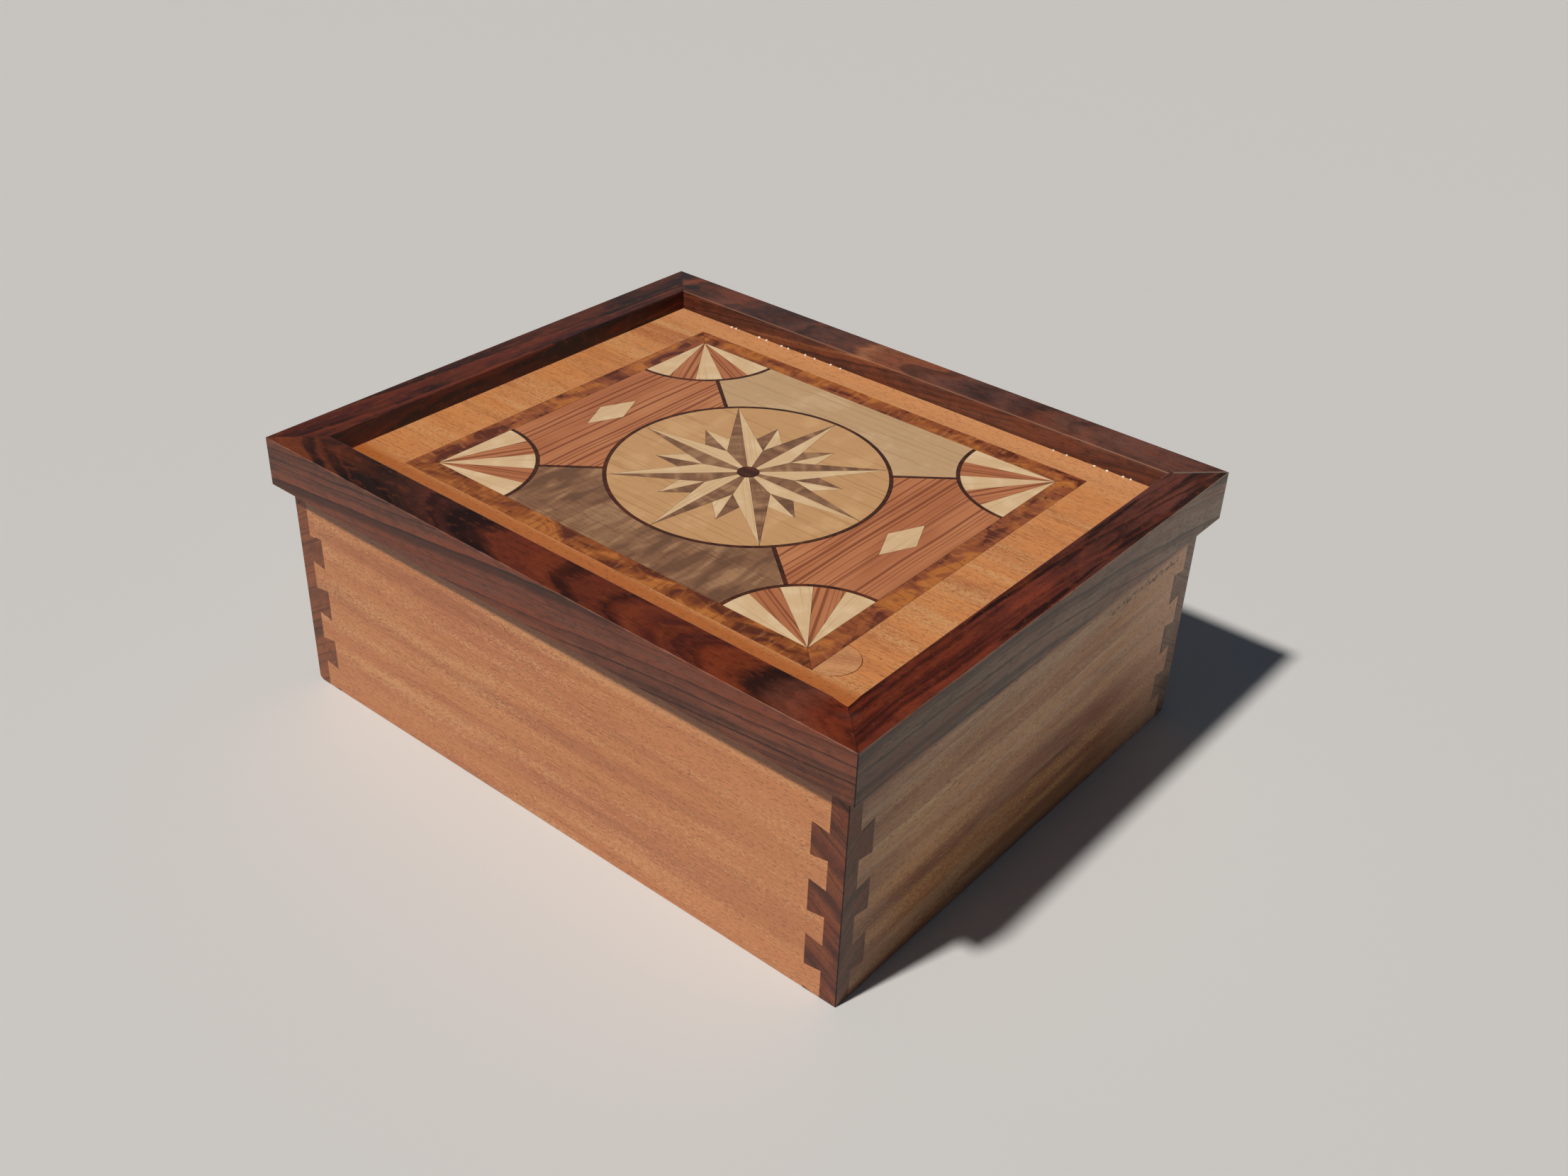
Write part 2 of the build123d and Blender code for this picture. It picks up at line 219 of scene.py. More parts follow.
def new_wood(name, grain, rays=None):
    """Starts a material. Gives its tree, and the place on the piece in mm with X along the grain. Rays is
    a function that turns the place, so that each blade or point of a design has its own grain."""
    material = bpy.data.materials.new(name)
    material.use_nodes = True
    tree = material.node_tree
    tree.nodes.clear()
    place = add(tree, "Mapping", {
        "Vector": add(tree, "TexCoord").outputs["Object"],
        "Scale": (to_mm, to_mm, to_mm),
        "Rotation": turn_to_grain(grain).to_euler(),
    })
    if rays:
        place = rays(tree, place)
    return material, tree, place


def figure(tree, place, length, width, shift, detail=2.0, twist=0.0):
    """A value round 0.5 that changes over patches of this length in mm along the grain and this width
    across it. The shift picks another part of the pattern."""
    stretched = add(tree, "Mapping", {
        "Vector": place,
        "Scale": (1 / length, 1 / width, 1 / width),
        "Location": (shift, 1.7 * shift, 2.3 * shift),
    })
    return add(tree, "TexNoise", {
        "Vector": stretched,
        "Scale": 1.0,
        "Detail": detail,
        "Distortion": twist,
    })


def thin_layers(tree, depth, spacing, detail):
    """A value round 0.5 that changes only with depth, over layers this far apart in mm."""
    return add(tree, "TexNoise", {
        "W": depth,
        "Scale": 1 / spacing,
        "Detail": detail,
    }, noise_dimensions="1D")


def paint(tree, ground, layers):
    """Lays tones over a ground. Each layer is a tone, a pattern, the pattern's values where the tone
    starts and where it is fullest, and how much it covers there. A tone is a hex colour or a node."""
    def tint(tone):
        return linear(tone) if isinstance(tone, str) else tone

    colour = tint(ground)
    for tone, pattern, start, full, strength in layers:
        cover = add(tree, "MapRange", {
            0: pattern,
            1: start,
            2: full,
            4: strength,
        }, interpolation_type="SMOOTHSTEP")
        mixed = add(tree, "Mix", {0: cover, 6: colour, 7: tint(tone)}, data_type="RGBA")
        colour = mixed.outputs[2]
    return colour


def box_place(tree):
    """The place on the box in millimetres."""
    return add(tree, "VectorMath", {
        0: add(tree, "TexCoord").outputs["Object"],
        "Scale": to_mm,
    }, operation="SCALE")


def far_from(tree, low, high):
    """The distance in mm from a block of space on the box, between its low and high corners."""
    middle = (Vector(low) + Vector(high)) / 2
    half = (Vector(high) - Vector(low)) / 2
    away = add(tree, "VectorMath", {0: box_place(tree), 1: middle}, operation="SUBTRACT")
    away = add(tree, "VectorMath", {0: away}, operation="ABSOLUTE")
    past = add(tree, "VectorMath", {0: away, 1: half}, operation="SUBTRACT")
    past = add(tree, "VectorMath", {0: past, 1: (0, 0, 0)}, operation="MAXIMUM")
    return add(tree, "VectorMath", {0: past}, operation="LENGTH").outputs["Value"]


def tones_through(tree, depth, tones):
    """A colour that runs through tones, each at a depth in mm."""
    first, last = tones[0][0], tones[-1][0]
    share = add(tree, "MapRange", {0: depth, 1: first, 2: last})
    run = add(tree, "ValToRGB", {0: share})
    fill_ramp(run.color_ramp, [((at - first) / (last - first), tone) for at, tone in tones])
    return run


def washes(tree, tones):
    """Layers for paint. Each is a tone that comes in slowly along an axis of the box, from one place in
    mm to another, and how much it covers there."""
    axes = add(tree, "SeparateXYZ", {0: box_place(tree)}).outputs
    return [(tone, axes[axis], start, full, strength) for tone, axis, start, full, strength in tones]


def finish_wood(material, tree, colour, relief, depth, roughness, gloss):
    """Ends a material: its surface relief, this deep in mm, and a thin film of oil or varnish over it."""
    bump = add(tree, "Bump", {"Height": relief, "Distance": depth / to_mm, "Strength": 1.0})
    shader = add(tree, "BsdfPrincipled", {
        "Base Color": colour,
        "Roughness": roughness,
        "IOR": 1.5,
        "Specular IOR Level": gloss,
        "Normal": bump,
    })
    add(tree, "OutputMaterial", {0: shader})
    return material


# How far the grain moves in mm from one sector of a design to the next
sector_step = (0, 7.3, 31.7)


def sectors(tree, place, width, start):
    """Splits the place round the vertical axis into sectors of this angle, each turned so that its own
    middle line is the X axis, and set apart so that no two have the same grain."""
    x, y, height = add(tree, "SeparateXYZ", {0: place}).outputs
    angle = add(tree, "Math", {0: y, 1: x}, operation="ARCTAN2")
    share = add(tree, "Math", {0: angle, 1: 1 / width, 2: -start / width}, operation="MULTIPLY_ADD")
    number = add(tree, "Math", {0: share}, operation="FLOOR")
    turn = add(tree, "Math", {
        0: number,
        1: -width,
        2: -start - width / 2,
    }, operation="MULTIPLY_ADD")
    upright = add(tree, "VectorRotate", {"Vector": place, "Angle": turn}, rotation_type="Z_AXIS")
    apart = add(tree, "CombineXYZ", {"Y": number, "Z": number})
    return add(tree, "VectorMath", {0: apart, 1: sector_step, 2: upright}, operation="MULTIPLY_ADD")


# Woods

# Roughness of wood with an oiled or satin surface
oil_roughness = 0.42

# How far the right board's ribbons sway in mm, and how fast its row of pits thins out in each mm
ribbon_sway = 16.0
pits_fade = 0.11

# Rosewood: how fast flames spread in each mm along a piece, the gloss of a polished top, and the gloss
# and roughness of the duller outer faces
flames_spread = 0.0009
top_gloss = 0.42
face_gloss = 0.3
face_roughness = 0.45


def ribbon_mahogany(name, grain, shift, ground="bd784a", ribbon=0.35, fleck=0.5, pore=0.6, gloss=0.5,
                    bands=(), tones=(), pits=None):
    """Oiled mahogany, quarter-sawn: warm orange-brown with soft ribbons along the grain, short dark pores
    and bright flecks where the fibres turn. Bands are tones at heights in mm, for a board whose ribbons
    differ more, sway and break into patches. Pits are a row of dark dots from one place to another. Pores
    are 0.1 mm wide, drawn at 0.3 mm so that they show."""
    material, tree, place = new_wood(name, grain)
    coats = []
    if bands:
        patches = figure(tree, place, 75, 9, shift + 15, 3)
        coats += [
            ("7a543a", patches, 0.5, 0.34, 0.5),
            ("dcb892", patches, 0.52, 0.68, 0.35),
        ]
        sway = figure(tree, place, 90, 20, shift + 13, 3)
        height = add(tree, "SeparateXYZ", {0: place}).outputs["Z"]
        lowered = add(tree, "Math", {0: height, 1: ribbon_sway / 2}, operation="SUBTRACT")
        level = add(tree, "Math", {0: sway, 1: ribbon_sway, 2: lowered}, operation="MULTIPLY_ADD")
        ground = tones_through(tree, level, bands)
    ribbons = figure(tree, place, 220, 8, shift, 2)
    blush = figure(tree, place, 120, 25, shift + 3)
    streaks = figure(tree, place, 45, 1.2, shift + 4, 2)
    fibres = figure(tree, place, 9, 0.45, shift + 5, 2)
    pores = figure(tree, place, 1.8, 0.3, shift + 7, 1)
    flecks = figure(tree, place, 1.1, 0.4, shift + 9, 1)
    fleck_rows = figure(tree, place, 90, 7, shift + 11, 1)
    bright = add(tree, "Math", {0: flecks, 1: fleck_rows}, operation="ADD")
    coats += [
        ("ab6544", blush, 0.48, 0.72, 0.5),
        ("c98b55", ribbons, 0.5, 0.64, ribbon),
        ("8e5233", ribbons, 0.5, 0.36, ribbon),
        ("93532f", streaks, 0.57, 0.78, 0.15 + 0.7 * ribbon),
        ("8d4f2d", fibres, 0.5, 0.75, 0.5),
        ("d29a66", fibres, 0.48, 0.28, 0.4),
        ("dba873", bright, 1.06, 1.24, fleck),
        *washes(tree, tones),
        ("5f301b", pores, 0.58, 0.69, pore),
    ]
    if pits:
        dots = figure(tree, place, 2.3, 1.5, shift + 17, 2)
        far = far_from(tree, *pits)
        row = add(tree, "Math", {0: far, 1: -pits_fade, 2: dots}, operation="MULTIPLY_ADD")
        coats.append(("402a20", row, 0.42, 0.58, 0.75))
    colour = paint(tree, ground, coats)
    return finish_wood(material, tree, colour, fibres, 0.04, oil_roughness, gloss)


def growth_depth(tree, place, grain, shift, datum=(0, 0, 0), through=(0, 0, 1), slope=0.0, bow=0.0,
                 apex=0.0, drift=0.0, bend=0.0, wander=2.0):
    """Depth through the growth layers in mm, nothing at the datum. The layers lie across the way through,
    rise along the grain by the slope, arch over an apex that drifts sideways, bend along the piece, and
    wander."""
    way = turned(grain, through)
    way.x = 0.0
    way.normalize()
    spot = add(tree, "VectorMath", {0: place, 1: turned(grain, datum)}, operation="SUBTRACT")
    along, across, up = add(tree, "SeparateXYZ", {0: spot}).outputs
    middle = add(tree, "Math", {0: along, 1: drift, 2: apex}, operation="MULTIPLY_ADD")
    side = add(tree, "Math", {0: across, 1: middle}, operation="SUBTRACT")
    # Figures average 0.5, so half of what the last three wander is taken off at the start.
    shares = (
        (across, way.y),
        (up, way.z),
        (add(tree, "Math", {0: side, 1: side}, operation="MULTIPLY"), bow),
        (add(tree, "Math", {0: along, 1: along}, operation="MULTIPLY"), bend),
        (figure(tree, place, 45, 13, shift, 3), wander),
        (figure(tree, place, 9, 3, shift + 2, 3), wander * 0.2),
        (figure(tree, place, 5, 0.4, shift + 3, 1), wander * 0.12),
    )
    depth = add(tree, "Math", {0: along, 1: -slope, 2: -0.66 * wander}, operation="MULTIPLY_ADD")
    for source, share in shares:
        depth = add(tree, "Math", {0: source, 1: share, 2: depth}, operation="MULTIPLY_ADD")
    return depth


def box_edges(tree, half_length, half_width, top):
    """Distances in mm on a box: in from its outer faces, down from its top, to its upper rim, to its
    nearest upright corner, to its mitred seams, and to the open part of the back right seam."""
    spot = box_place(tree)
    folded = add(tree, "VectorMath", {0: spot}, operation="ABSOLUTE")
    size = (half_length, half_width, top)
    inset = add(tree, "VectorMath", {0: size, 1: folded}, operation="SUBTRACT")
    from_end, from_side, from_top = add(tree, "SeparateXYZ", {0: inset}).outputs
    nearest = add(tree, "Math", {0: from_end, 1: from_side}, operation="MINIMUM")
    mitre = add(tree, "Math", {0: from_end, 1: from_side}, operation="SUBTRACT")
    seam = add(tree, "Math", {0: mitre}, operation="ABSOLUTE")
    x, y, height = add(tree, "SeparateXYZ", {0: spot}).outputs
    diagonal = add(tree, "Math", {0: x, 1: y}, operation="ADD")
    opened_from = half_length + half_width - open_mitre
    to_corner = add(tree, "Math", {0: opened_from, 1: diagonal}, operation="SUBTRACT")
    return {
        "inset": nearest,
        "down": from_top,
        "rim": add(tree, "Math", {0: nearest, 1: from_top}, operation="MAXIMUM"),
        "corner": add(tree, "Math", {0: from_end, 1: from_side}, operation="MAXIMUM"),
        "seam": seam,
        "back seam": add(tree, "Math", {0: seam, 1: to_corner}, operation="MAXIMUM"),
    }


def rosewood(name, grain, shift, bands, streak=1.6, contrast=0.7, roughness=0.24, tones=(), edges=None,
             outer=(), lines=0.55, inner=0.0, rubbed=None, flames=0.0, gap=None, **growth):
    """Polished rosewood: dark growth layers through red-brown wood. The layers run through the whole
    piece, so they show as straight streaks on one face and as arched flames on the next. Bands are tones
    at depths through the layers in mm, and streaks are thinner layers between them, this far apart. Dark
    lines show on the outer faces, over tones given at places along the piece in mm, which are partly
    painted sheen. Flames are broad dark patches, more of them further along. A pale line along the rim,
    and along the inner edge of a frame this wide, is partly rubbed polish and partly a painted highlight.
    Pale specks are painted glints on the pores, with some dust. The polish is duller on the outer faces
    and gone round the rubbed place. The glue line shows dark down each corner, but pale where the back
    right mitre has opened. A gap is a dark slit in the wood, from one place to another."""
    material, tree, place = new_wood(name, grain)
    depth = growth_depth(tree, place, grain, shift, **growth)
    ground = tones_through(tree, depth, bands)
    layers = thin_layers(tree, depth, streak, 2.0)
    region = figure(tree, place, 35, 12, shift + 4, 2)
    mottle = figure(tree, place, 5, 2.5, shift + 10, 2)
    fibres = figure(tree, place, 10, 0.45, shift + 6, 2)
    pores = figure(tree, place, 2.0, 0.3, shift + 8, 1)
    # Pale specks are painted glints on the pores, with some dust.
    dust_and_pore_glints = figure(tree, place, 0.7, 0.5, shift + 12, 0)
    coats = washes(tree, tones)
    if edges:
        edge = box_edges(tree, *edges)
    along = add(tree, "SeparateXYZ", {0: place}).outputs["X"]
    if flames:
        patches = figure(tree, place, 55, 5, shift + 16, 1, 0.3)
        flame = add(tree, "Math", {0: along, 1: -flames_spread, 2: patches}, operation="MULTIPLY_ADD")
        coats.append(("1a0d0c", flame, 0.47, 0.36, flames))
    # Tones on the outer faces are paler and greyer than the top, partly painted sheen.
    if outer:
        coats.append((tones_through(tree, along, outer), edge["inset"], 0.3, 0.1, 0.6))
    coats += [
        ("1d0e0c", layers, 0.49, 0.33, contrast),
        ("8f4524", layers, 0.53, 0.7, contrast * 0.5),
        ("7e3a1e", region, 0.5, 0.7, 0.4),
        ("2a1512", region, 0.48, 0.3, 0.35),
        ("28130f", mottle, 0.53, 0.72, 0.3),
        ("8a4526", mottle, 0.46, 0.3, 0.25),
        ("26130f", fibres, 0.52, 0.72, 0.35),
        ("160a09", pores, 0.62, 0.72, 0.6),
        ("9a8070", dust_and_pore_glints, 0.78, 0.86, 0.25),
    ]
    if gap:
        coats.append(("140c0a", far_from(tree, *gap), 0.2, 0.05, 0.85))
    gloss = top_gloss
    if edges:
        nicks = figure(tree, place, 6, 6, shift + 14, 3)
        # The pale line along the rim is partly rubbed polish and partly a painted highlight on the eased
        # edge.
        rubbed_and_highlit_rim = add(tree, "Math", {0: nicks, 1: -1.0, 2: edge["rim"]}, operation="MULTIPLY_ADD")
        late_wood = thin_layers(tree, depth, 5.0, 3.0)
        outside = add(tree, "Math", {0: edge["inset"], 1: 9.0, 2: late_wood}, operation="MULTIPLY_ADD")
        coats += [
            ("2a1813", outside, 0.52, 0.36, lines),
            ("1f110e", edge["seam"], 0.3, 0.1, 0.5),
            ("8c8676", edge["back seam"], 0.9, 0.4, 0.55),
            ("a07a66", rubbed_and_highlit_rim, -0.15, -0.5, 0.35),
            ("120a08", edge["corner"], 0.35, 0.2, 0.85),
        ]
        to_top = {0: edge["inset"], 1: 0.1, 2: 0.3}
        roughness = add(tree, "MapRange", {**to_top, 3: face_roughness, 4: roughness})
        gloss = add(tree, "MapRange", {**to_top, 3: face_gloss, 4: gloss})
    if inner:
        # The pale line along the inner edge is partly rubbed polish and partly a painted highlight.
        past = add(tree, "Math", {0: edge["inset"], 1: inner}, operation="SUBTRACT")
        to_line = add(tree, "Math", {0: past}, operation="ABSOLUTE")
        rubbed_and_highlit_arris = add(tree, "Math", {0: to_line, 1: edge["down"]}, operation="MAXIMUM")
        coats.append(("a47a60", rubbed_and_highlit_arris, 0.45, 0.2, 0.45))
    if rubbed:
        away = add(tree, "VectorMath", {0: box_place(tree), 1: rubbed}, operation="DISTANCE")
        far = away.outputs["Value"]
        gloss = add(tree, "MapRange", {0: far, 1: 6.0, 2: 11.0, 3: 0.02, 4: gloss})
    colour = paint(tree, ground, coats)
    return finish_wood(material, tree, colour, fibres, 0.012, roughness, gloss)


def burl(name, grain, shift, ground="965332"):
    """Satin amboyna burl, a crossband of short pieces: translucent amber and dark red-brown clouds that
    curl into each other, with fine curls across them and a few dark eyes."""
    material, tree, place = new_wood(name, grain)
    clouds = figure(tree, place, 16, 9, shift, 3, 0.8)
    curls = figure(tree, place, 1.8, 7, shift + 2, 2, 0.5)
    eyes = figure(tree, place, 4.5, 3, shift + 4, 2, 1.2)
    grit = figure(tree, place, 0.8, 0.6, shift + 6, 2)
    colour = paint(tree, ground, (
        ("bf7538", clouds, 0.5, 0.63, 0.9),
        ("54241a", clouds, 0.48, 0.37, 0.85),
        ("cf8a4e", curls, 0.53, 0.72, 0.4),
        ("58281a", curls, 0.47, 0.3, 0.45),
        ("3c1910", eyes, 0.62, 0.76, 0.7),
        ("6a341f", grit, 0.5, 0.8, 0.35),
    ))
    return finish_wood(material, tree, colour, grit, 0.02, 0.36, 0.5)


def pale_veneer(name, grain, shift, ground, light, dark, rays=None):
    """Close-grained pale veneer, such as maple, pear or sycamore, in a satin finish: nearly even, with
    faint lines along the grain and a silky light across it."""
    material, tree, place = new_wood(name, grain, rays)
    silk = figure(tree, place, 9, 14, shift, 2)
    lines = figure(tree, place, 60, 0.9, shift + 2, 3)
    hairs = figure(tree, place, 6, 0.25, shift + 4, 1)
    colour = paint(tree, ground, (
        (light, silk, 0.48, 0.7, 0.6),
        (dark, lines, 0.52, 0.72, 0.6),
        (dark, hairs, 0.6, 0.75, 0.5),
    ))
    return finish_wood(material, tree, colour, lines, 0.02, oil_roughness, 0.4)


def curly_walnut(name, grain, shift, rays=None):
    """Satin curly walnut veneer: grey-brown, with light and dark waves across the grain and fine dark
    lines along it."""
    material, tree, place = new_wood(name, grain, rays)
    curl = figure(tree, place, 4, 16, shift, 1, 0.2)
    glow = figure(tree, place, 30, 25, shift + 1, 1)
    lines = figure(tree, place, 40, 0.7, shift + 2, 3)
    hairs = figure(tree, place, 4, 0.3, shift + 4, 1)
    colour = paint(tree, "8c654b", (
        ("b58c69", curl, 0.5, 0.68, 0.75),
        ("624534", curl, 0.48, 0.34, 0.6),
        ("9e7a5a", glow, 0.5, 0.7, 0.5),
        ("5c412f", lines, 0.52, 0.75, 0.5),
        ("4c3426", hairs, 0.58, 0.72, 0.5),
    ))
    return finish_wood(material, tree, colour, lines, 0.02, oil_roughness, 0.4)


def lined_cedar(name, grain, shift, rays=None):
    """Satin red cedar veneer: orange-brown with thin dark growth lines side by side, 1 to 2 mm apart."""
    material, tree, place = new_wood(name, grain, rays)
    sway = figure(tree, place, 70, 18, shift, 1)
    across = add(tree, "SeparateXYZ", {0: place}).outputs["Y"]
    row = add(tree, "Math", {0: sway, 1: 4.0, 2: across}, operation="MULTIPLY_ADD")
    lines = thin_layers(tree, row, 1.5, 1.0)
    blush = figure(tree, place, 50, 15, shift + 3, 2)
    hairs = figure(tree, place, 12, 0.35, shift + 5, 2)
    colour = paint(tree, "c07c54", (
        ("cc8c60", blush, 0.5, 0.7, 0.7),
        ("a8623f", blush, 0.5, 0.34, 0.5),
        ("7d4028", lines, 0.5, 0.66, 0.8),
        ("96542f", hairs, 0.55, 0.75, 0.4),
    ))
    return finish_wood(material, tree, colour, hairs, 0.02, oil_roughness, 0.4)


def birch_face(name, grain, shift):
    """Bare birch plywood, seen on its face: cream-coloured and matt, with the wide soft figure of a
    peeled log."""
    material, tree, place = new_wood(name, grain)
    peel = figure(tree, place, 80, 9, shift, 2, 0.5)
    fibres = figure(tree, place, 9, 0.5, shift + 2, 2)
    colour = paint(tree, "d8b98c", (
        ("c29c6a", peel, 0.5, 0.72, 0.7),
        ("b58d5e", fibres, 0.55, 0.78, 0.4),
    ))
    return finish_wood(material, tree, colour, fibres, 0.04, 0.7, 0.3)


def wool_felt():
    """Pressed wool felt: deep green, fully matt, with a soft bright edge from its fuzz and no weave.
    Fibres are 0.03 mm thick, drawn at 0.3 mm so that they show."""
    material, tree, place = new_wood("pressed wool felt", along_x)
    tufts = figure(tree, place, 3, 3, 4, 3)
    fuzz = figure(tree, place, 0.4, 0.3, 6, 3, 1.0)
    colour = paint(tree, "2c4a3a", (
        ("3c5c49", tufts, 0.5, 0.7, 0.6),
        ("1c3227", fuzz, 0.5, 0.75, 0.8),
        ("547361", fuzz, 0.45, 0.25, 0.5),
    ))
    bump = add(tree, "Bump", {"Height": fuzz, "Distance": 0.25 / to_mm, "Strength": 1.0})
    shader = add(tree, "BsdfPrincipled", {
        "Base Color": colour,
        "Roughness": 0.95,
        "Specular IOR Level": 0.15,
        "Sheen Weight": 0.5,
        "Sheen Roughness": 0.5,
        "Sheen Tint": linear("a8c2b2"),
        "Normal": bump,
    })
    add(tree, "OutputMaterial", {0: shader})
    return material


# Dressing the pieces

def dress(material, *names):
    """Gives a material to the nodes with these names."""
    for name in names:
        for slot in nodes[name].material_slots:
            slot.material = material


# Tones along the middle of the front rail's top, at places along X in mm. Those past its right end show
# low on its outer face.
front_rail_tones = (
    (310, "6a3a2a"), (285, "55301f"), (262, "6e3d2a"), (240, "56301f"), (215, "70402c"), (190, "54291e"),
    (165, "6c3a26"), (145, "55291c"), (121, "7a3420"), (112, "7a3624"), (106, "743a2a"), (98, "7c4636"),
    (93, "60362a"), (88, "301915"), (84, "331a15"), (79, "78371f"), (66, "74321f"), (58, "4a201b"),
    (46, "5a271f"), (38, "7c3b25"), (31, "5c271c"), (28, "2e1612"), (24, "6a3020"), (-18, "6e3122"),
    (-31, "2a1513"), (-42, "1f1211"), (-53, "623228"), (-66, "3a221c"), (-90, "281814"),
    (-98, "1a0f0f"), (-122, "1c1110"), (-130, "74391f"),
)
# Tones through the right and left rails, at depths in mm from the inner edge of the top. Out and down are
# negative.
right_rail_tones = (
    (-27, "7c5c3c"), (-24.5, "33231a"), (-22.5, "80603e"), (-20.5, "6e4e34"), (-18.8, "241813"),
    (-16.5, "7c583a"), (-14.8, "6a4a32"), (-13.2, "2a1a15"), (-12, "74382a"), (-10.4, "7c3522"),
    (-9.3, "481f17"), (-8.4, "6e2d1e"), (-7.4, "481f17"), (-6.4, "6c2c1e"), (-4.0, "70301f"),
    (-2.8, "3e1b15"), (-2.0, "682c1e"), (0, "5c271c"), (2, "40201a"), (4, "642e22"), (6, "361a16"),
    (9, "603028"), (12, "3c201d"), (16, "643a30"),
)
left_rail_tones = (
    (-26, "4a2018"), (-20, "2c1613"), (-16.5, "5e2c20"), (-13, "301615"), (-11, "54241c"), (-8, "2a1513"),
    (-5, "6a2a1e"), (-2.5, "401c17"), (-0.5, "66291f"), (3, "2c1613"), (6, "562519"), (9, "1c0f0e"),
    (13, "7a3a1e"),
)
# Tones along the middle of the back rail's top, at places along X in mm. Their purple-grey is partly a
# painted reflection.
back_rail_tones = (
    (310, "683e36"), (220, "56342e"), (150, "603830"), (131, "54332e"), (112, "6c443a"), (80, "784c3e"),
    (60, "6c4538"), (50, "402622"), (38, "6a4238"), (30, "3c2522"), (16, "6e4438"), (8, "8a4f38"),
    (-14, "8e5236"), (-22, "b07450"), (-27, "683f32"), (-40, "5e3a32"), (-62, "603c33"), (-70, "362220"),
    (-82, "3e2825"), (-88, "7a4838"), (-100, "6a3a2e"), (-108, "241614"), (-116, "2a1917"),
    (-120, "8c4630"), (-124, "2c1a17"), (-131, "241716"),
)
# Tones of the right board's ribbons, at heights in mm
right_board_tones = (
    (0, "9c7456"), (6, "98694a"), (9, "774a30"), (13, "9c6845"), (17, "996745"), (21, "72442a"),
    (25, "885a3c"), (29, "a16f4d"), (33, "cf9a6f"), (39, "b58763"), (46, "d2a780"), (57, "d8b188"),
    (62, "d2a578"), (69, "b7906e"), (78, "c9a585"),
)
# Tones through the posts, at depths in mm up from the foot
post_tones = (
    (-8, "77402c"), (-4, "5c3025"), (-1, "7b422c"), (2, "804630"), (5, "572e24"), (8, "77402c"),
    (12, "844b2e"), (15, "50291f"), (18, "79422e"), (21, "653527"), (24, "81472f"), (28, "4a281f"),
    (31, "77402c"), (35, "834b2f"), (38, "542b1d"), (41, "753e2c"), (45, "7b4630"), (49, "4c291f"),
    (52, "7d4630"), (58, "6b3a27"), (62, "80482e"),
)


def dress_case_and_tray():
    """Mahogany boards and posts of rosewood, oiled, with a plywood bottom."""
    # The front and right boards get painted shade just under the lid's edge, and the right board's
    # ribbons rise a little to the back.
    painted_shade_under_lid = ("7c4a2e", "Z", 76, 79, 0.6)
    rising_back = (0, 1, 0.03)
    front_board = ribbon_mahogany("oiled mahogany, front board", along_x, 1.0, tones=(
        ("cf8d5c", "X", -20, 110, 0.35),
        painted_shade_under_lid,
    ))
    right_board = ribbon_mahogany(
        "oiled mahogany, right board", rising_back, 14.0, ribbon=0.5, gloss=0.25,
        bands=right_board_tones, pits=((case_half_length, 42, 73.6), (case_half_length, 89, 74.4)),
        tones=(
            ("8c7460", "Y", -60, -95, 0.25),
            # The paler, greyer tone towards the back is partly painted sheen.
            ("ecb894", "Y", 40, 98, 0.6),
            painted_shade_under_lid,
        ),
    )
    dress(front_board, "front_board")
    dress(right_board, "right_board")
    dress(ribbon_mahogany("oiled mahogany, back board", along_x, 27.0), "back_board")
    dress(ribbon_mahogany("oiled mahogany, left board", along_y, 41.0, ribbon=0.6), "left_board")
    across = ribbon_mahogany("oiled mahogany, across", along_x, 52.0)
    dress(across, "tray_front", "tray_back", "pen_rest_front", "pen_rest_back")
    deep = ribbon_mahogany("oiled mahogany, deep", along_y, 63.0)
    dress(deep, "tray_left", "tray_right", "left_ledge", "right_ledge")
    dress(birch_face("birch plywood", along_x, 3.0), "base_panel", "tray_base", "panel_core")
    # The posts' grain runs down and out to the corner on both faces. Two posts are paler all over, and on
    # the right side at the back the ends of the two upper keys have come a little loose.
    fall = -1.34
    corners = {
        "front_left": (-1, -1),
        "front_right": (1, -1),
        "back_left": (-1, 1),
        "back_right": (1, 1),
    }
    all_over = ("Z", -9, -8)
    paler = {
        "front_left": [("a66842", *all_over, 0.4)],
        "back_right": [("c2a28a", *all_over, 0.85)],
    }
    loose_ends = ((case_half_length - 2, key_end, 30), (case_half_length, key_end + 0.4, 70))
    for place, (x, y) in corners.items():
        wood = rosewood(
            "oiled rosewood, post " + place, (x, y, fall), 5.0 + x + 2 * y, post_tones,
            datum=(x * case_half_length, y * case_half_width, 0),
            wander=2.2, streak=1.3, contrast=0.4, roughness=0.4, lines=0.15,
            tones=(
                *paler.get(place, ()),
                # A grey-brown tone on the right end faces is painted sheen.
                ("74644e", "X", case_half_length - 0.4, case_half_length - 0.1, 0.45),
            ),
            edges=(case_half_length, case_half_width, lid_top),
            gap=loose_ends if place == "back_right" else None,
        )
        dress(wood, "post_" + place)


def along_top(tones, slope):
    """Turns tones at places along a rail's top into tones at depths through its layers."""
    return tuple(sorted((-slope * at, tone) for at, tone in tones))


